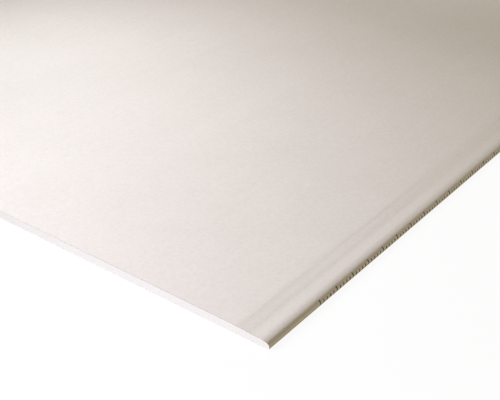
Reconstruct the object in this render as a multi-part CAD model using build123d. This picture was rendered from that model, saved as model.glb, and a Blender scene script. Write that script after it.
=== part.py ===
from build123d import *

import os

# A sheet of gypsum plasterboard with half-round tapered long edges and sawn square ends.
# It is a cast gypsum core, a face paper that runs round both long edges and folds onto the
# back, and a back paper that laps over the two folds. The sheet lies flat with its face up:
# X is its length, Y its width, and Z is up from the underside of the back paper.

# Driving dimensions, in millimetres
LENGTH = 2000.0
WIDTH = 1250.0
THICKNESS = 12.5
PAPER = 0.3

# Long edge, from the flat face outwards
STEP_RUN = 33.0  # wavy slope from the face down to the ledge
STEP_EASE = 0.23  # fall over the slope's first quarter, and again over its last
LEDGE_DEPTH = 1.1  # how far the ledge lies below the face
LEDGE_RUN = 8.5  # flat ledge that takes the joint tape and filler
NOSE_RUN = 16.0  # elliptical rounding from the ledge out to the upright land
NOSE_DROP = 7.0  # height of that rounding
HEEL_RADIUS = 1.2  # rounding from the land onto the back

# Back of the sheet, measured in from each long edge
FLAP_WIDTH = 30.0  # face paper folded onto the back
BACK_MARGIN = 8.0  # face paper left showing beside the back paper

QUARTER_TURN = 90  # degrees
OUTWARDS = (1, 0)
DOWN = (0, -1)


def step(start, height):
    """Four arcs of equal run down to the ledge: ever steeper, gentler, steeper again, then level."""
    falls = [STEP_EASE, LEDGE_DEPTH / 2, LEDGE_DEPTH - STEP_EASE, LEDGE_DEPTH]
    run = STEP_RUN / len(falls)
    arcs = []
    place, heading = (start, height), OUTWARDS
    for count, fall in enumerate(falls, start=1):
        arc = TangentArc(place, (start + count * run, height - fall), tangent=heading)
        arcs.append(arc)
        place, heading = arc @ 1, arc % 1
    return arcs


def long_edge(depth):
    """Line round one long edge, from the flat face to the back, at a depth in the face paper."""
    edge = WIDTH / 2
    ledge_end = edge - NOSE_RUN
    land_top = THICKNESS - LEDGE_DEPTH - NOSE_DROP
    slope = step(ledge_end - LEDGE_RUN - STEP_RUN, THICKNESS - depth)
    ledge = Line(slope[-1] @ 1, (ledge_end, THICKNESS - LEDGE_DEPTH - depth))
    nose = EllipticalCenterArc(
        (ledge_end, land_top), NOSE_RUN - depth, NOSE_DROP - depth, QUARTER_TURN, arc_size=-QUARTER_TURN
    )
    land = Line((edge - depth, land_top), (edge - depth, PAPER + HEEL_RADIUS))
    heel = JernArc(land @ 1, DOWN, HEEL_RADIUS - depth, -QUARTER_TURN)
    return Wire([*slope, ledge, nose, land, heel])


def wrapped_section(depth):
    """Everything inside a line at a depth in the face paper, which is 0 at its outer surface."""
    right = long_edge(depth)
    left = mirror(right, Plane.YZ)
    face = Line(left @ 0, right @ 0)
    back = Line(left @ 1, right @ 1)
    return make_face([*left.edges(), *right.edges(), face, back])


def sections():
    """The cross-section of each piece, with its width along x and its height along y."""
    outside = wrapped_section(0)
    inside = wrapped_section(PAPER)
    on_back = (Align.CENTER, Align.MIN)
    between_flaps = Pos(0, PAPER) * Rectangle(WIDTH - 2 * FLAP_WIDTH, PAPER, align=on_back)
    return {
        "gypsum_core": inside + between_flaps,
        "face_paper": outside - inside - between_flaps,
        "back_paper": Rectangle(WIDTH - 2 * BACK_MARGIN, PAPER, align=on_back),
    }


near_end = Plane.YZ.offset(-LENGTH / 2)
os.makedirs("parts", exist_ok=True)
for name, section in sections().items():
    piece = extrude(near_end * section, LENGTH)
    export_step(piece, f"parts/{name}.step")
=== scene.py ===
"""Dresses a drywall sheet: its two papers, its sawn gypsum core and a white studio stage."""

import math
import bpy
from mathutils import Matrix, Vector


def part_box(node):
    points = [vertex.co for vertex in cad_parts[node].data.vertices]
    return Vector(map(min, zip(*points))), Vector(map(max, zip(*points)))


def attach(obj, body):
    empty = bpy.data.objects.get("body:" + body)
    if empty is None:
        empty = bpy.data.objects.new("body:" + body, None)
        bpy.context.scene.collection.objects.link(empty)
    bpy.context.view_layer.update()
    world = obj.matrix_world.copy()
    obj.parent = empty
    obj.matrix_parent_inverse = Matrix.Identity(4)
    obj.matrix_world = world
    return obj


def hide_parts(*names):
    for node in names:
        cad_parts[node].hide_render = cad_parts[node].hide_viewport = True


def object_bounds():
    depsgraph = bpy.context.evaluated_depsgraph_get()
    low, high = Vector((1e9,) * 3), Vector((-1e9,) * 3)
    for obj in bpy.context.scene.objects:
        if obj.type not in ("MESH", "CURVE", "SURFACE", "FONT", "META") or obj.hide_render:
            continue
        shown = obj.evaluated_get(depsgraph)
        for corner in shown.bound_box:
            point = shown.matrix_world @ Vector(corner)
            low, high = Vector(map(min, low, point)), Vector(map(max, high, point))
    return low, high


bl_info = {
    "name": "Drywall Sheet",
    "version": (1, 0, 0),
    "blender": (4, 5, 0),
    "location": "3D View > Sidebar > Sheet",
    "description": "Builds the papers and the core of a gypsum board and lights it in a studio",
    "category": "Add Mesh",
}

import bpy
import numpy as np
from bpy.props import FloatProperty, FloatVectorProperty, IntProperty, PointerProperty
from bpy.types import Operator, Panel, PropertyGroup
from mathutils import Euler, Vector, noise

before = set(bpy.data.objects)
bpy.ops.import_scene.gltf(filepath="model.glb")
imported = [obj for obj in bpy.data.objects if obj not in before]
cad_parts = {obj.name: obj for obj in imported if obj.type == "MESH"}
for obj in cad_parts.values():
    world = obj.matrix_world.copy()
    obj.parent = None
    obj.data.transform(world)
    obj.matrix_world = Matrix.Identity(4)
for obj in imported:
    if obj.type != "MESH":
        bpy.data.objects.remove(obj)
CAD_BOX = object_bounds()
LOW, HIGH = CAD_BOX
HALF_LENGTH = HIGH.x
HALF_WIDTH = HIGH.y
THICKNESS = HIGH.z
BACK_LOW, BACK_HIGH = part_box("back_paper")
PAPER = BACK_HIGH.z - BACK_LOW.z
IMAGE_WIDTH = 500  # pixels
WHITE = (1.0, 1.0, 1.0)
LAMPS = ("top", "raking", "front", "far")
LAMP_PARTS = ("place", "aim", "size", "power", "colour")

# Fineness of the meshes
STEP_POINTS = 10  # on each arc of the step
NOSE_POINTS = 39
HEEL_POINTS = 12
FACE_STRIPS = 24  # across the flat face
FACE_RINGS = 121  # along the face paper
BACK_RINGS = 161  # along the back paper
BACK_COLUMNS = 13  # across the back paper
CORE_STRIPS = 14  # down a sawn end
COLUMN_DECIMALS = 7  # of the columns' places across a sawn end
MERGE_PARTS = 40  # columns closer than the grid over this become one
SHARP_ANGLE = math.radians(35)  # faces that meet at more than this have a hard edge

# Slow waves of the papers, lengths in metres
END_FADE = 0.02  # about how far in from a cut end the waves grow
FACE_WAVE_LENGTH = 0.22
STEP_WAVE_LENGTH = 0.13
SWAY_WAVE_LENGTH = 0.07
SWAY_REACH_SHARE = 1.6  # of the taper's width, in from the long edge
TRIM_WAVE_LENGTH = 0.09
TRIM_DEPTH = 0.0004  # how far the back paper's long edges wander in

# Relief of the sawn ends, lengths in metres
CRUMB_FALLOFF = 0.9  # how fast the crumbs grow shallower as they grow finer
CRUMB_RATIO = 2.0  # of one crumb's width to that of the next finer one
CRUMB_OCTAVES = 4
SAW_DRIFT_ACROSS = 0.04
SAW_DRIFT_UP = 0.02
SAW_DRIFT_TURN = 2  # radians of a saw mark's round
RING_INSET = 0.004  # from a sawn end in to where the core's straight sides begin

# Rows and layers of the noise, so that no two wanders are alike
STEP_ROW, STEP_LAYER = 3.0, 5.0
SWAY_ROW, SWAY_LAYER = 4.0, 8.0
TRIM_ROWS, TRIM_LAYER = (1.0, 9.0), 2.0
SAW_LAYER = 7.0

# Patterns of the materials, lengths in metres
FACE_CLOUD = 0.005  # patches where fibres lie thicker
FACE_FIBRE = 0.0011
FACE_TOOTH = 0.0022  # the felt's print
FACE_STREAK = 0.016
FACE_DRIFT = 0.11  # slow change of shade
PRESSED_LINE = 0.0035
PRESSED_SWAY = 0.008  # how far the pressed lines swing sideways
PRESSED_SWAY_LENGTH = 0.06
PRESSED_REACH_SHARE = 0.7  # of the step's width, to each side of its middle
BACK_CLOUD = 0.007
BACK_FIBRE = 0.0012
BACK_DRIFT = 0.16
THREAD_SPACING = 0.004  # of the dark fibres on the back
THREAD_SHARE = 0.1  # half a thread's width, of that spacing
GYPSUM_DRIFT = 0.05
PORE_SPACING = 0.0016
PORE_STEEPNESS = 3.0  # the spacing over a pore's radius
GRAIN_DEPTH = 0.00006  # of the fine relief on paper and gypsum
CUT_REACH = PAPER / 10  # what lies this close to an end's plane is the cut itself
NOISE_ROUGHNESS = 0.55

# Shares of the distance along, across and up: a small one draws a pattern out that way
FACE_FIBRE_LIE = (0.25, 1.0, 1.0)
FACE_STREAK_LIE = (0.02, 1.0, 1.0)
PRESSED_LINE_LIE = 0.012  # along
BACK_FIBRE_LIE = (0.18, 1.0, 1.0)
THREAD_LIE = (0.3, 1.0, 1.0)
ALONG_ONLY = (1.0, 0.0, 0.0)  # the same all the way across


# Settings

def length(name, default, description):
    """A size in metres that the panel shows as a distance."""
    return FloatProperty(
        name=name,
        description=description,
        default=default,
        min=0.0,
        precision=5,
        unit="LENGTH",
        subtype="DISTANCE",
    )


def angle(name, default, description):
    """An angle given in degrees, which Blender keeps in radians."""
    return FloatProperty(
        name=name, description=description, default=math.radians(default), unit="ROTATION", subtype="ANGLE"
    )


def colour(name, default, description):
    """A linear colour."""
    return FloatVectorProperty(
        name=name, description=description, default=default, size=3, min=0.0, max=1.0, subtype="COLOR"
    )


def share(name, default, description):
    """A plain factor from 0 to 1."""
    return FloatProperty(
        name=name, description=description, default=default, min=0.0, max=1.0, subtype="FACTOR"
    )


def place(name, default, description):
    """A point in the sheet's frame, in metres."""
    return FloatVectorProperty(
        name=name, description=description, default=default, size=3, unit="LENGTH", subtype="TRANSLATION"
    )


def watts(name, default, description):
    """The power of a lamp."""
    return FloatProperty(name=name, description=description, default=default, min=0.0, unit="POWER")


class EdgeSettings(PropertyGroup):
    """The tapered long edge, from the flat face outwards."""

    step_run: length("Step Run", 0.033, "Width of the wavy slope from the face down to the ledge")
    step_ease: length("Step Ease", 0.00033, "Fall over the slope's first quarter, and again over its last")
    ledge_depth: length("Ledge Depth", 0.0016, "How far the ledge lies below the face")
    ledge_run: length("Ledge Run", 0.0085, "Width of the ledge that takes the joint tape")
    nose_run: length("Nose Run", 0.016, "Width of the elliptical rounding from the ledge out to the land")
    nose_drop: length("Nose Drop", 0.0065, "Height of that rounding")
    heel_radius: length("Heel Radius", 0.0012, "Rounding from the land onto the back")
    flap_width: length("Flap Width", 0.03, "Face paper folded onto the back")


class PaperSettings(PropertyGroup):
    """The two liner papers and the cutting marks printed on the edge."""

    face: colour("Face", (0.815, 0.771, 0.729), "Ivory of the face paper")
    face_shade: colour("Face Shade", (0.715, 0.667, 0.617), "Face paper where its fibres lie thicker")
    # Painted shade: a darker colour for the band on the nose's rounding, where it turns away from the
    # light.
    nose_shade: colour("Crease", (0.655, 0.602, 0.52), "Face paper along the line where it was scored to bend")
    # Painted shade: darkens the foot of the upright land, where the sheet meets the floor.
    foot_shade: colour("Soil", (0.31, 0.285, 0.235), "Grime along the foot of the edge")
    ply: colour("Ply", (0.34, 0.30, 0.25), "Grey inner plies, which show where a cut end is frayed")
    back: colour("Back", (0.56, 0.51, 0.45), "Grey-brown of the back paper")
    back_shade: colour("Back Shade", (0.40, 0.35, 0.29), "Back paper where its fibres lie thicker")
    fleck: colour("Fleck", (0.16, 0.14, 0.12), "Dark fibres in the recycled back paper")
    # On the upright land this colour is painted light that makes the land lighter; at the cut ends it is
    # gypsum dust.
    dust: colour("Dust", (0.92, 0.90, 0.90), "Gypsum dust on the upright land and at the cut ends")
    ink: colour("Ink", (0.045, 0.045, 0.045), "Ink of the cutting marks")
    # How strongly the painted shade at the foot lies.
    foot_shade_cover: share("Soil Cover", 0.8, "How thickly the grime lies")
    fray_cover: share("Fray Cover", 0.62, "How much of the frayed strip shows the inner plies")
    fleck_cover: share("Fleck Cover", 0.5, "How dark the dark fibres are")
    # How strongly the painted light lies on the upright land.
    land_light_cover: share("Dust Cover", 0.5, "How thickly dust lies on the upright land")
    back_dust_cover: share("Back Dust Cover", 0.6, "How thickly dust lies on the back paper's cut ends")
    ink_cover: share("Ink Cover", 0.88, "How thickly the ink lies")
    # Reach of the painted light on the land and of the dust at the back's ends; also the land's width for
    # the painted shade at the foot.
    dust_and_light_reach: length("Dust Reach", 0.0022, "How far in from the land, or the back's ends, dust lies")
    # The two settings below place the band of painted shade on the nose.
    nose_shade_in: length("Crease In", 0.0034, "From the land in to the middle of the scored line")
    nose_shade_reach: length("Crease Reach", 0.0026, "Half the width of the scored line")
    # How far up the land the painted shade at the foot reaches.
    foot_shade_height: length("Soil Height", 0.0042, "How far up the land the soiling reaches")
    fray_reach: length("Fray Reach", 0.001, "How far in from a cut end the top ply is frayed")
    face_wave: length("Face Wave", 0.00004, "Deepest hollow of the face's slow waves")
    step_wave: length("Step Wave", 0.00012, "How much the step's depth wanders along the edge")
    step_sway: length("Step Sway", 0.0012, "How far the step wanders sideways along the edge")
    mark_start: length("Mark Start", 0.112, "Distance from the near end to the first mark")
    mark_pitch: length("Mark Pitch", 0.008, "Distance from one mark to the next")
    mark_width: length("Mark Width", 0.0027, "Stroke of a mark")
    mark_foot: length("Mark Foot", 0.0014, "Height of the marks' lower end above the floor")
    mark_height: length("Mark Height", 0.0050, "Height of a short mark")
    tall_height: length("Tall Height", 0.0068, "Height of a tall mark")
    tall_every: IntProperty(
        name="Tall Every", description="Marks from one tall mark to the next", default=5, min=2
    )


class CoreSettings(PropertyGroup):
    """The gypsum core and its sawn ends."""

    gypsum: colour("Gypsum", (0.93, 0.905, 0.90), "White of the dry gypsum")
    # Painted shade: the darker colour of the gypsum down in its pores.
    hollow: colour("Hollow", (0.80, 0.775, 0.765), "Gypsum down in its pores")
    grid: length("Grid", 0.0009, "Spacing of the points on a sawn end")
    crumb_size: length("Crumb Size", 0.0035, "Width of the crumbs on a sawn end")
    crumb_depth: length("Crumb Depth", 0.00022, "Depth of the hollows between the crumbs")
    saw_pitch: length("Saw Pitch", 0.0031, "Distance from one saw mark to the next")
    saw_depth: length("Saw Depth", 0.00006, "Depth of a saw mark")
    saw_slant: angle("Saw Slant", 24.0, "Lean of the saw marks from upright")


class StageSettings(PropertyGroup):
    """The camera, the lamps, the fill light and the floor."""

    aim_along: length("Aim Along", 0.2555, "Where the camera aims, along the sheet from the near corner")
    aim_in: length("Aim In", 0.2274, "Where the camera aims, across the sheet from the near corner")
    distance: length("Distance", 1.501, "From the camera to where it aims")
    azimuth: angle("Azimuth", -52.34, "Way that the camera looks, turned from the sheet's width")
    elevation: angle("Elevation", 30.96, "How steeply the camera looks down")
    field: FloatProperty(
        name="Field", description="Distance to the picture, in its pixels", default=978.3, min=1.0
    )
    top_place: place("Top Lamp Place", (-0.638, 0.387, 0.924), "Middle of the lamp above the sheet")
    top_aim: place("Top Lamp Aim", (-0.7, -0.325, 0.0), "Where the lamp above points")
    top_size: length("Top Lamp Size", 0.5, "Side of the lamp above")
    top_power: watts("Top Lamp Power", 11.0, "Power of the lamp above")
    top_colour: colour("Top Lamp Colour", (0.845, 0.887, 1.0), "Cool daylight of the lamp above")
    raking_place: place("Raking Lamp Place", (-2.381, 0.932, 0.832), "Middle of the lamp past the near end")
    raking_aim: place("Raking Lamp Aim", (-3.5, -0.73, 0.0), "Where it points, so that its edge grazes")
    raking_size: length("Raking Lamp Size", 0.5, "Side of the lamp past the near end")
    raking_power: watts("Raking Lamp Power", 178.5, "Power of the lamp past the near end")
    raking_colour: colour("Raking Lamp Colour", (0.831, 0.857, 1.0), "Cool light from past the near end")
    front_place: place("Front Lamp Place", (4.97, -2.24, 0.727), "Middle of the low lamp beside the sheet")
    front_aim: place("Front Lamp Aim", (-0.7, -0.625, 0.0), "Where the low lamp points")
    front_size: length("Front Lamp Size", 0.72, "Side of the low lamp")
    front_power: watts("Front Lamp Power", 52.0, "Power of the low lamp")
    front_colour: colour("Front Lamp Colour", (1.0, 0.97, 0.85), "Warm light of the low lamp")
    far_place: place("Far Lamp Place", (0.85, 0.0, 0.9), "Middle of the lamp over the far end")
    far_aim: place("Far Lamp Aim", (1.86, 0.0, 0.0), "Where it points, to light the far half alone")
    far_size: length("Far Lamp Size", 0.5, "Side of the lamp over the far end")
    far_power: watts("Far Lamp Power", 8.0, "Power of the lamp over the far end")
    far_colour: colour("Far Lamp Colour", (0.85, 0.92, 1.0), "Cool daylight of the lamp over the far end")
    fill: colour("Fill", (0.236, 0.188, 0.097), "Faint warm light from all round")
    bounce: colour("Bounce", (0.473, 0.447, 0.339), "Light that the floor throws back up at the sheet")
    floor_size: length("Floor Size", 40.0, "Side of the floor")
    floor_gap: length("Floor Gap", 0.00005, "How far the floor lies below the sheet")
    floor_glow: share("Floor Glow", 0.92, "Share of the floor's white that no shadow darkens")


# Shader nodes

class Value:
    """A node's output. Python sums on it add Math nodes to the same graph."""

    def __init__(self, graph, socket):
        self.graph = graph
        self.socket = socket

    def math(self, operation, first, second=0.0):
        """Adds a Math node and returns its result."""
        return self.graph.node("ShaderNodeMath", {"operation": operation}, {0: first, 1: second})

    def __add__(self, other):
        return self.math("ADD", self, other)

    def __radd__(self, other):
        return self.math("ADD", other, self)

    def __sub__(self, other):
        return self.math("SUBTRACT", self, other)

    def __rsub__(self, other):
        return self.math("SUBTRACT", other, self)

    def __mul__(self, other):
        return self.math("MULTIPLY", self, other)

    def __rmul__(self, other):
        return self.math("MULTIPLY", other, self)

    def __mod__(self, other):
        return self.math("FLOORED_MODULO", self, other)

    def __lt__(self, other):
        return self.math("LESS_THAN", self, other)

    def __gt__(self, other):
        return self.math("GREATER_THAN", self, other)

    def __abs__(self):
        return self.math("ABSOLUTE", self)


class Graph:
    """The nodes of one material or of the world."""

    def __init__(self, tree):
        self.tree = tree
        tree.nodes.clear()

    def node(self, kind, settings=None, sockets=None, output=0):
        """Adds a node, sets its settings, fills or links its sockets and returns one of its outputs."""
        made = self.tree.nodes.new(kind)
        for name, value in (settings or {}).items():
            setattr(made, name, value)
        for key, value in (sockets or {}).items():
            if isinstance(value, Value):
                self.tree.links.new(value.socket, made.inputs[key])
            else:
                made.inputs[key].default_value = value
        return Value(self, made.outputs[output]) if made.outputs else None

    def where(self):
        """The place on the object, in metres."""
        return self.node("ShaderNodeTexCoord", output="Object")

    def axes(self, vector):
        """The three parts of a vector."""
        parts = self.node("ShaderNodeSeparateXYZ", None, {0: vector}).socket.node.outputs
        return [Value(self, part) for part in parts]

    def stretched(self, vector, factors):
        """A place with each axis scaled by its own factor."""
        return self.node("ShaderNodeVectorMath", {"operation": "MULTIPLY"}, {0: vector, 1: factors})

    def cloud(self, vector, size, detail=2.0):
        """Soft noise about zero, with patches of a size in metres."""
        sockets = {"Vector": vector, "Scale": 1 / size, "Detail": detail, "Roughness": NOISE_ROUGHNESS}
        return self.node("ShaderNodeTexNoise", None, sockets) - 0.5

    def specks(self, vector, spacing):
        """How far the nearest of many scattered points is, as a share of their spacing in metres."""
        return self.node("ShaderNodeTexVoronoi", None, {"Vector": vector, "Scale": 1 / spacing}, "Distance")

    def blend(self, factor, first, second):
        """A colour between two colours."""
        sockets = {0: factor, 6: rgba(first), 7: rgba(second)}
        return self.node("ShaderNodeMix", {"data_type": "RGBA", "clamp_factor": True}, sockets, output=2)

    def relief(self, height):
        """A normal that a height between about -1 and 1 disturbs, as a fine grain does."""
        sockets = {"Strength": 1.0, "Distance": GRAIN_DEPTH, "Height": height}
        return self.node("ShaderNodeBump", None, sockets)

    def matt(self, tint, roughness, specular, normal):
        """Sends a matt surface to the output."""
        sockets = {
            "Base Color": tint,
            "Roughness": roughness,
            "Specular IOR Level": specular,
            "Normal": normal,
        }
        self.finish(self.node("ShaderNodeBsdfPrincipled", None, sockets))

    def finish(self, shader, kind="ShaderNodeOutputMaterial"):
        """Sends a shader to the output."""
        self.node(kind, None, {"Surface": shader})


def rgba(value):
    """A colour with its alpha, or a link as it is."""
    return value if isinstance(value, Value) else (*value, 1.0)


def highest(first, *others):
    """The highest of several values, of which the first is a link."""
    for other in others:
        first = first.math("MAXIMUM", first, other)
    return first


def fading(value, full, none):
    """One up to a first value, then falling to nothing at a second one."""
    settings = {"operation": "DIVIDE", "use_clamp": True}
    return value.graph.node("ShaderNodeMath", settings, {0: none - value, 1: none - full})


def material(name):
    """A new material and its empty graph."""
    made = bpy.data.materials.new(name)
    made.use_nodes = True
    return made, Graph(made.node_tree)


# Materials

def pressed_lines(graph, edge):
    """Lines that run along the step, where the paper was pressed down, and fade out beside it."""
    where = graph.where()
    along, across, _ = graph.axes(where)
    sway = graph.cloud(graph.stretched(where, ALONG_ONLY), PRESSED_SWAY_LENGTH, detail=1.0)
    lane = {0: along * PRESSED_LINE_LIE, 1: across + sway * PRESSED_SWAY}
    lines = graph.cloud(graph.node("ShaderNodeCombineXYZ", None, lane), PRESSED_LINE, detail=1.0)
    step_middle = edge.nose_run + edge.ledge_run + edge.step_run / 2
    from_middle = abs(HALF_WIDTH - abs(across) - step_middle)
    return lines * fading(from_middle, 0.0, edge.step_run * PRESSED_REACH_SHARE)


def cutting_marks(graph, paper):
    """A mask of the plain strokes along the near long edge, taller at every few."""
    along, across, up = graph.axes(graph.where())
    travel = along + (HALF_LENGTH - paper.mark_start)
    tall_pitch = paper.mark_pitch * paper.tall_every
    on_edge = across < paper.tall_height - HALF_WIDTH
    started = travel > -paper.mark_width / 2
    lifted = up - paper.mark_foot
    short = ((travel % paper.mark_pitch) < paper.mark_width) * (lifted < paper.mark_height)
    tall = ((travel % tall_pitch) < paper.mark_width) * (lifted < paper.tall_height)
    return highest(short, tall) * on_edge * started * (lifted > 0.0)


def lit_and_shaded_edge(graph, paper, clean, cloud, fibre):
    """A clean colour made lighter on the land by painted light, with a band of painted shade on the nose
    just above it and painted shade darkening the foot.
    """
    _, across, up = graph.axes(graph.where())
    inwards = HALF_WIDTH - abs(across)
    # Painted light: the land and the bottom of the nose made lighter.
    dust_and_light_share = fading(inwards, paper.dust_and_light_reach / 2, paper.dust_and_light_reach)
    # Painted shade: a darker band on the nose just above the land.
    shaded = fading(abs(inwards - paper.nose_shade_in), 0.0, paper.nose_shade_reach)
    # Painted shade: darker towards the foot of the land.
    foot_shaded = fading(up, paper.foot_shade_height / 5, paper.foot_shade_height) * (inwards < paper.dust_and_light_reach)
    land_lightened = graph.blend(dust_and_light_share * (paper.land_light_cover + cloud), clean, paper.dust)
    nose_darkened = graph.blend(shaded * (1.0 + fibre), land_lightened, paper.nose_shade)
    return graph.blend(foot_shaded * (paper.foot_shade_cover + fibre), nose_darkened, paper.foot_shade)


def frayed_ends(graph, paper, whole, fibre):
    """A whole paper's colour with grey plies along the cut ends, and dust on the cuts themselves."""
    along = graph.axes(graph.where())[0]
    from_end = HALF_LENGTH - abs(along)
    worn = fading(from_end, paper.fray_reach / 2, paper.fray_reach)
    frayed = graph.blend(worn * (paper.fray_cover + fibre), whole, paper.ply)
    return graph.blend(from_end < CUT_REACH, frayed, paper.dust)


def face_liner(paper, edge):
    """Smooth ivory paper with fibre clouds, pressed lines on the step, painted light and shade on the long
    edge, and frayed ends.
    """
    made, graph = material("face_liner")
    where = graph.where()
    cloud = graph.cloud(where, FACE_CLOUD, detail=3.0)
    fibre = graph.cloud(graph.stretched(where, FACE_FIBRE_LIE), FACE_FIBRE)
    streak = graph.cloud(graph.stretched(where, FACE_STREAK_LIE), FACE_STREAK)
    drift = graph.cloud(where, FACE_DRIFT)
    tooth = graph.cloud(where, FACE_TOOTH, detail=1.0)
    grain = 0.35 + cloud * 1.1 + fibre * 0.9 + tooth * 0.3
    thickness = grain + streak * 0.25 + drift * 0.4 + pressed_lines(graph, edge) * 1.4
    clean = graph.blend(thickness, paper.face, paper.face_shade)
    ivory = lit_and_shaded_edge(graph, paper, clean, cloud, fibre)
    ink_body = paper.ink_cover + fibre * 1.2
    inked = graph.blend(cutting_marks(graph, paper) * ink_body, ivory, paper.ink)
    graph.matt(
        tint=frayed_ends(graph, paper, inked, fibre),
        roughness=0.68 + cloud * 0.12 + fibre * 0.1,
        specular=0.25,
        normal=graph.relief(cloud * 0.4 + fibre + tooth * 1.5),
    )
    return made


def back_liner(paper):
    """Rough grey-brown paper of recycled fibres, with dark flecks and dust at its cut ends."""
    made, graph = material("back_liner")
    where = graph.where()
    cloud = graph.cloud(where, BACK_CLOUD, detail=4.0)
    fibre = graph.cloud(graph.stretched(where, BACK_FIBRE_LIE), BACK_FIBRE, detail=3.0)
    drift = graph.cloud(where, BACK_DRIFT)
    thickness = 0.45 + cloud * 1.3 + fibre * 1.4 + drift * 0.5
    brown = graph.blend(thickness, paper.back, paper.back_shade)
    thread = graph.specks(graph.stretched(where, THREAD_LIE), THREAD_SPACING) < THREAD_SHARE
    flecked = graph.blend(thread * paper.fleck_cover, brown, paper.fleck)
    from_end = HALF_LENGTH - abs(graph.axes(where)[0])
    dust_and_light_share = fading(from_end, PAPER, paper.dust_and_light_reach) * paper.back_dust_cover
    graph.matt(
        tint=graph.blend(dust_and_light_share, flecked, paper.dust),
        roughness=0.85 + cloud * 0.1,
        specular=0.2,
        normal=graph.relief(cloud * 0.5 + fibre),
    )
    return made


def sawn_gypsum(core):
    """Dry white gypsum with fine pores, with painted shade down in them."""
    made, graph = material("sawn_gypsum")
    where = graph.where()
    crumb = graph.cloud(where, core.crumb_size, detail=4.0)
    drift = graph.cloud(where, GYPSUM_DRIFT)
    pore = highest(1.0 - graph.specks(where, PORE_SPACING) * PORE_STEEPNESS, 0.0)
    # The pores pull the tone towards the hollow colour, which is painted shade; crumb and drift vary it at
    # random.
    tone = pore * 0.25 + crumb * 0.3 + drift * 0.3 + 0.28
    graph.matt(
        tint=graph.blend(tone, core.gypsum, core.hollow),
        roughness=0.9 + crumb * 0.08,
        specular=0.2,
        normal=graph.relief(crumb - pore),
    )
    return made


# Cross-section

def arc_points(start, end, count):
    """Points along the arc that leaves start on its heading and ends at end, each with its heading."""
    start_across, start_up, heading = start
    across, up = end[0] - start_across, end[1] - start_up
    chord = math.hypot(across, up)
    turn = 2 * (math.atan2(up, across) - heading)
    points = []
    for number in range(1, count + 1):
        part = turn * number / count
        reach = chord * math.sin(part / 2) / math.sin(turn / 2)
        bearing = heading + part / 2
        point_across = start_across + reach * math.cos(bearing)
        point_up = start_up + reach * math.sin(bearing)
        points.append((point_across, point_up, heading + part))
    return points


def long_edge(edge):
    """Outer line of the face paper round one long edge: (across, up, heading) from the face to the fold."""
    ledge_end = HALF_WIDTH - edge.nose_run
    step_start = ledge_end - edge.ledge_run - edge.step_run
    ledge_up = THICKNESS - edge.ledge_depth
    land_top = ledge_up - edge.nose_drop
    line = [(step_start, THICKNESS, 0.0)]

    falls = [edge.step_ease, edge.ledge_depth / 2, edge.ledge_depth - edge.step_ease, edge.ledge_depth]
    run = edge.step_run / len(falls)
    for number, fall in enumerate(falls, start=1):
        line += arc_points(line[-1], (step_start + number * run, THICKNESS - fall), STEP_POINTS)
    line.append((ledge_end, ledge_up, 0.0))

    for turn in np.linspace(0.0, math.pi / 2, NOSE_POINTS + 1)[1:]:
        out, rise = math.sin(turn), math.cos(turn)
        heading = -math.atan2(edge.nose_drop * out, edge.nose_run * rise)
        line.append((ledge_end + edge.nose_run * out, land_top + edge.nose_drop * rise, heading))

    heel = edge.heel_radius
    line.append((HALF_WIDTH, PAPER + heel, -math.pi / 2))
    line += arc_points(line[-1], (HALF_WIDTH - heel, PAPER), HEEL_POINTS)
    line.append((HALF_WIDTH - edge.flap_width, PAPER, -math.pi))
    return np.array(line)


def wrapped_line(edge):
    """Outer line of the face paper from one fold's end, over the face, to the other fold's end."""
    right = long_edge(edge)
    left = right[::-1] * (-1, 1, -1)
    across = np.linspace(left[-1, 0], right[0, 0], FACE_STRIPS + 1)[1:-1]
    face = np.column_stack([across, np.full_like(across, THICKNESS), np.zeros_like(across)])
    return np.vstack([left, face, right])


def moved_in(line, depth):
    """A line's points moved into the sheet, square to the line."""
    across, up, heading = line.T
    return np.column_stack([across + depth * np.sin(heading), up - depth * np.cos(heading)])


# Waves and relief

def as_share(swing):
    """A swing between -1 and 1 as a share between 0 and 1."""
    return 0.5 + 0.5 * swing


def wander(along, wave_length, row, layer):
    """A slow swing between -1 and 1 along the sheet, different in each row and layer of the noise."""
    return noise.noise(Vector((along / wave_length, row, layer)))


def taper_width(edge):
    """Width of the whole tapered edge, from the face out to the land."""
    return edge.step_run + edge.ledge_run + edge.nose_run


def lobe(across, reach):
    """One halfway in from a long edge to a reach, and nothing at the edge and past the reach."""
    inwards = min((HALF_WIDTH - abs(across)) / reach, 1.0)
    return math.sin(math.pi * inwards) ** 2


def hollow(along, across, paper, edge):
    """How far the paper has settled at a place, which is nothing at the sheet's ends."""
    grown = 1 - math.exp(-(HALF_LENGTH - abs(along)) / END_FADE)
    face = as_share(noise.noise(Vector((along, across, 0.0)) / FACE_WAVE_LENGTH))
    step = as_share(wander(along, STEP_WAVE_LENGTH, math.copysign(STEP_ROW, across), STEP_LAYER))
    return grown * (paper.face_wave * face + paper.step_wave * lobe(across, taper_width(edge)) * step)


def sway(along, across, paper, edge):
    """How far the step lies to one side at a place, which is nothing at the long edge and far in."""
    side = wander(along, SWAY_WAVE_LENGTH, math.copysign(SWAY_ROW, across), SWAY_LAYER)
    return paper.step_sway * lobe(across, SWAY_REACH_SHARE * taper_width(edge)) * side


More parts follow.
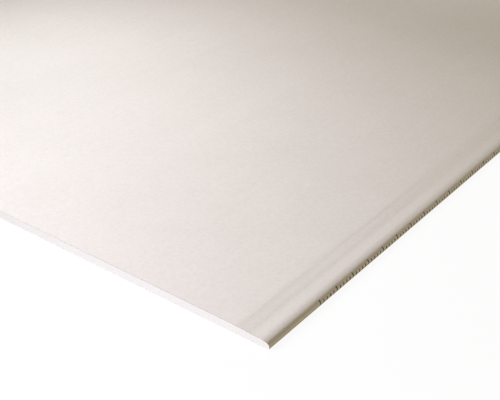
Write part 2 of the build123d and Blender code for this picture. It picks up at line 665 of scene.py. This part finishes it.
def sawn_relief(across, up, core):
    """How far a sawn end lies behind its plane at a place: crumbs and slanting saw marks."""
    spot = Vector((across, up, 0.0)) / core.crumb_size
    crumb = as_share(noise.fractal(spot, CRUMB_FALLOFF, CRUMB_RATIO, CRUMB_OCTAVES))
    lean = across + up * math.tan(core.saw_slant)
    drift = noise.noise(Vector((across / SAW_DRIFT_ACROSS, up / SAW_DRIFT_UP, SAW_LAYER)))
    saw = as_share(math.sin(2 * math.pi * lean / core.saw_pitch + SAW_DRIFT_TURN * drift))
    return core.crumb_depth * min(max(crumb, 0.0), 1.0) + core.saw_depth * saw


# Meshes

def quads(ids):
    """Four-sided faces over a grid of vertex numbers."""
    ids = np.asarray(ids)
    corners = [ids[:-1, :-1], ids[1:, :-1], ids[1:, 1:], ids[:-1, 1:]]
    return np.stack(corners, axis=-1).reshape(-1, 4)


def rim(ids):
    """The vertex numbers round the outside of a grid, in order."""
    return np.concatenate([ids[0], ids[1:, -1], ids[-1, -2::-1], ids[-2:0:-1, 0]])


def paper_faces(outer, inner):
    """The faces of a closed paper, from the vertex numbers of its outside and of its inside."""
    faces = [
        quads(outer),
        quads(inner[:, ::-1]),
        quads([inner[0], outer[0]]),
        quads([outer[-1], inner[-1]]),
        quads([outer[:, 0], inner[:, 0]]),
        quads([inner[:, -1], outer[:, -1]]),
    ]
    return np.vstack(faces)


def face_paper_mesh(edge, paper):
    """A closed sheet of paper that follows the wrapped line from end to end."""
    line = wrapped_line(edge)
    outer, inner = [], []
    for x in np.linspace(-HALF_LENGTH, HALF_LENGTH, FACE_RINGS):
        settled = np.array([hollow(x, y, paper, edge) for y in line[:, 0]])
        shifted = line.copy()
        shifted[:, 0] += [sway(x, y, paper, edge) for y in line[:, 0]]
        for rings, depth in ((outer, settled), (inner, settled + PAPER)):
            section = moved_in(shifted, depth)
            rings.append(np.column_stack([np.full(len(line), x), section]))
    points = np.vstack(outer + inner)
    ids = np.arange(len(points)).reshape(2, FACE_RINGS, len(line))
    return points, paper_faces(*ids)


def back_paper_mesh():
    """The back paper: a thin flat sheet whose long edges wander a little, as a trimmed web does."""
    rows = []
    for x in np.linspace(-HALF_LENGTH, HALF_LENGTH, BACK_RINGS):
        swings = [wander(x, TRIM_WAVE_LENGTH, row, TRIM_LAYER) for row in TRIM_ROWS]
        near, far = [TRIM_DEPTH * as_share(swing) for swing in swings]
        across = np.linspace(BACK_LOW.y + near, BACK_HIGH.y - far, BACK_COLUMNS)
        rows.append(np.column_stack([np.full(BACK_COLUMNS, x), across]))
    plan = np.vstack(rows)
    levels = (BACK_HIGH.z, BACK_LOW.z)
    points = np.vstack([np.column_stack([plan, np.full(len(plan), level)]) for level in levels])
    ids = np.arange(len(points)).reshape(2, BACK_RINGS, BACK_COLUMNS)
    return points, paper_faces(*ids)


def core_columns(edge, core):
    """Places across the core with its lower and upper surface at each."""
    line = moved_in(wrapped_line(edge), PAPER)
    half = HALF_WIDTH - PAPER
    count = int(2 * half / core.grid)
    across = np.concatenate([line[:, 0], np.linspace(-half, half, count)])
    across = np.unique(across.round(COLUMN_DECIMALS))
    across = across[np.insert(np.diff(across) > core.grid / MERGE_PARTS, 0, True)]

    land_top = THICKNESS - edge.ledge_depth - edge.nose_drop
    upper = line[line[:, 1] > land_top + PAPER]
    top_places = np.concatenate([[-half], upper[:, 0], [half]])
    top_heights = np.concatenate([[land_top], upper[:, 1], [land_top]])
    top = np.interp(across, top_places, top_heights)

    heel = edge.heel_radius - PAPER
    inset = np.clip(heel - (half - np.abs(across)), 0.0, heel)
    on_flap = PAPER + edge.heel_radius - np.sqrt(np.maximum(heel**2 - inset**2, 0.0))
    fold = HALF_WIDTH - edge.flap_width
    ramp = np.clip((fold - np.abs(across)) / PAPER, 0.0, 1.0)
    return across, on_flap - PAPER * ramp, top


def core_mesh(edge, core):
    """The core: two rough sawn ends with straight sides between them, a little inside the papers."""
    across, bottom, top = core_columns(edge, core)
    shares = np.linspace(0.0, 1.0, CORE_STRIPS + 1)[:, None]
    up = top + (bottom - top) * shares
    side = np.broadcast_to(across, up.shape)
    depth = np.array([[sawn_relief(y, z, core) for y, z in zip(*row)] for row in zip(side, up)])
    out = HALF_LENGTH - depth
    ends = [np.stack([way * out, side, up], axis=-1).reshape(-1, 3) for way in (-1, 1)]
    near, far = np.arange(2 * up.size).reshape(2, *up.shape)

    middle = np.array([0.0, 0.0, THICKNESS / 2])
    clear = np.array([1.0, 1.0 - PAPER / HALF_WIDTH, 1.0 - PAPER / THICKNESS])
    rings = []
    for end in ends:
        ring = middle + (end[rim(near)] - middle) * clear
        ring[:, 0] = np.sign(ring[:, 0]) * (HALF_LENGTH - RING_INSET)
        rings.append(ring)
    points = np.vstack(ends + rings)
    ring_ids = np.arange(2 * up.size, len(points)).reshape(2, -1)
    loops = np.vstack([rim(near), ring_ids, rim(far)])
    closed = np.column_stack([loops, loops[:, 0]])
    return points, np.vstack([quads(closed), quads(near[::-1]), quads(far)])


def build_piece(name, points, faces, surface, node):
    """Makes the mesh that stands for a CAD node, rides on the sheet and takes a material slot."""
    mesh = bpy.data.meshes.new(name)
    mesh.from_pydata(points.tolist(), [], faces.tolist())
    mesh.polygons.foreach_set("use_smooth", np.ones(len(mesh.polygons), dtype=bool))
    mesh.set_sharp_from_angle(angle=SHARP_ANGLE)
    mesh.materials.append(surface)
    mesh.validate()
    piece = bpy.data.objects.new(name, mesh)
    bpy.context.scene.collection.objects.link(piece)
    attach(piece, "root")
    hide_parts(node)


# Stage

def set_camera(scene, stage):
    """Puts the camera where the picture was taken from."""
    data = bpy.data.cameras.new("camera")
    data.lens = stage.field * data.sensor_width / IMAGE_WIDTH
    camera = bpy.data.objects.new("camera", data)
    turn = Euler((math.pi / 2 - stage.elevation, 0.0, stage.azimuth))
    aim = Vector((LOW.x + stage.aim_along, LOW.y + stage.aim_in, THICKNESS))
    camera.rotation_euler = turn
    camera.location = aim + turn.to_matrix() @ Vector((0.0, 0.0, stage.distance))
    scene.collection.objects.link(camera)
    scene.camera = camera


def add_lamp(scene, name, spot, aim, size, power, tint):
    """A square softbox that the camera doesn't see."""
    data = bpy.data.lights.new(name, "AREA")
    data.shape = "SQUARE"
    data.size = size
    data.energy = power
    data.color = tint
    lamp = bpy.data.objects.new(name, data)
    lamp.location = spot
    lamp.rotation_euler = (Vector(aim) - Vector(spot)).to_track_quat("-Z", "Y").to_euler()
    lamp.visible_camera = False
    scene.collection.objects.link(lamp)


def shown(graph):
    """One for rays that show the background: to the camera, and in gloss or glass."""
    outputs = ("Is Camera Ray", "Is Glossy Ray", "Is Transmission Ray")
    return highest(*[graph.node("ShaderNodeLightPath", output=output) for output in outputs])


def set_fill(scene, stage):
    """Even light from all round, behind a white background."""
    world = bpy.data.worlds.new("fill")
    world.use_nodes = True
    graph = Graph(world.node_tree)
    tint = graph.blend(shown(graph), stage.fill, WHITE)
    light = graph.node("ShaderNodeBackground", None, {"Color": tint, "Strength": 1.0})
    graph.finish(light, "ShaderNodeOutputWorld")
    scene.world = world


def lay_floor(scene, stage):
    """A white floor that keeps a soft shadow and throws an even warm light back up."""
    made, graph = material("floor")
    paint = graph.node("ShaderNodeBsdfDiffuse", None, {"Color": rgba(WHITE)})
    glow = graph.node("ShaderNodeEmission", None, {"Color": rgba(WHITE), "Strength": 1.0})
    bounce = graph.node("ShaderNodeEmission", None, {"Color": rgba(stage.bounce), "Strength": 1.0})
    white = graph.node("ShaderNodeMixShader", None, {0: stage.floor_glow, 1: paint, 2: glow})
    graph.finish(graph.node("ShaderNodeMixShader", None, {0: shown(graph), 1: bounce, 2: white}))
    half = stage.floor_size / 2
    mesh = bpy.data.meshes.new("floor")
    corners = [(-half, -half, 0.0), (half, -half, 0.0), (half, half, 0.0), (-half, half, 0.0)]
    mesh.from_pydata(corners, [], [(0, 1, 2, 3)])
    mesh.materials.append(made)
    floor = bpy.data.objects.new("floor", mesh)
    floor.location.z = -stage.floor_gap
    scene.collection.objects.link(floor)


# Operators

class SHEET_OT_gypsum_core(Operator):
    """Casts the gypsum core and saws its two ends"""

    bl_idname = "sheet.gypsum_core"
    bl_label = "Gypsum Core"

    def execute(self, context):
        edge, core = context.scene.sheet_edge, context.scene.sheet_core
        points, faces = core_mesh(edge, core)
        build_piece("gypsum_core_body", points, faces, sawn_gypsum(core), "gypsum_core")
        return {"FINISHED"}


class SHEET_OT_face_paper(Operator):
    """Wraps the face paper over the face, round both long edges and onto the back"""

    bl_idname = "sheet.face_paper"
    bl_label = "Face Paper"

    def execute(self, context):
        edge, paper = context.scene.sheet_edge, context.scene.sheet_paper
        points, faces = face_paper_mesh(edge, paper)
        build_piece("face_paper_wrap", points, faces, face_liner(paper, edge), "face_paper")
        return {"FINISHED"}


class SHEET_OT_back_paper(Operator):
    """Glues the back paper over the folds of the face paper"""

    bl_idname = "sheet.back_paper"
    bl_label = "Back Paper"

    def execute(self, context):
        points, faces = back_paper_mesh()
        surface = back_liner(context.scene.sheet_paper)
        build_piece("back_paper_web", points, faces, surface, "back_paper")
        return {"FINISHED"}


class SHEET_OT_stage(Operator):
    """Sets the camera, the lamps, the faint fill light and the white floor"""

    bl_idname = "sheet.stage"
    bl_label = "Studio Stage"

    def execute(self, context):
        scene, stage = context.scene, context.scene.sheet_stage
        set_camera(scene, stage)
        for name in LAMPS:
            parts = [getattr(stage, f"{name}_{part}") for part in LAMP_PARTS]
            add_lamp(scene, f"{name}_lamp", *parts)
        set_fill(scene, stage)
        lay_floor(scene, stage)
        scene.view_settings.view_transform = "Standard"
        return {"FINISHED"}


class SHEET_PT_panel(Panel):
    """Lists the pieces of the sheet and the stage, with their settings"""

    bl_idname = "SHEET_PT_panel"
    bl_label = "Drywall Sheet"
    bl_space_type = "VIEW_3D"
    bl_region_type = "UI"
    bl_category = "Sheet"

    def draw(self, context):
        for step in STEPS:
            self.layout.operator(step.bl_idname)
        for name, group in SETTINGS.items():
            box = self.layout.box()
            for key in group.__annotations__:
                box.prop(getattr(context.scene, name), key)


# Registration

STEPS = (SHEET_OT_gypsum_core, SHEET_OT_face_paper, SHEET_OT_back_paper, SHEET_OT_stage)
SETTINGS = {
    "sheet_edge": EdgeSettings,
    "sheet_paper": PaperSettings,
    "sheet_core": CoreSettings,
    "sheet_stage": StageSettings,
}


def register():
    for group in SETTINGS.values():
        bpy.utils.register_class(group)
    for kind in (*STEPS, SHEET_PT_panel):
        bpy.utils.register_class(kind)
    for name, group in SETTINGS.items():
        setattr(bpy.types.Scene, name, PointerProperty(type=group))


def unregister():
    for name in SETTINGS:
        delattr(bpy.types.Scene, name)
    for kind in (SHEET_PT_panel, *reversed(STEPS)):
        bpy.utils.unregister_class(kind)
    for group in reversed(SETTINGS.values()):
        bpy.utils.unregister_class(group)


def main():
    """Builds every piece and the stage."""
    register()
    bpy.ops.sheet.gypsum_core()
    bpy.ops.sheet.face_paper()
    bpy.ops.sheet.back_paper()
    bpy.ops.sheet.stage()


if __name__ == "__main__":
    main()
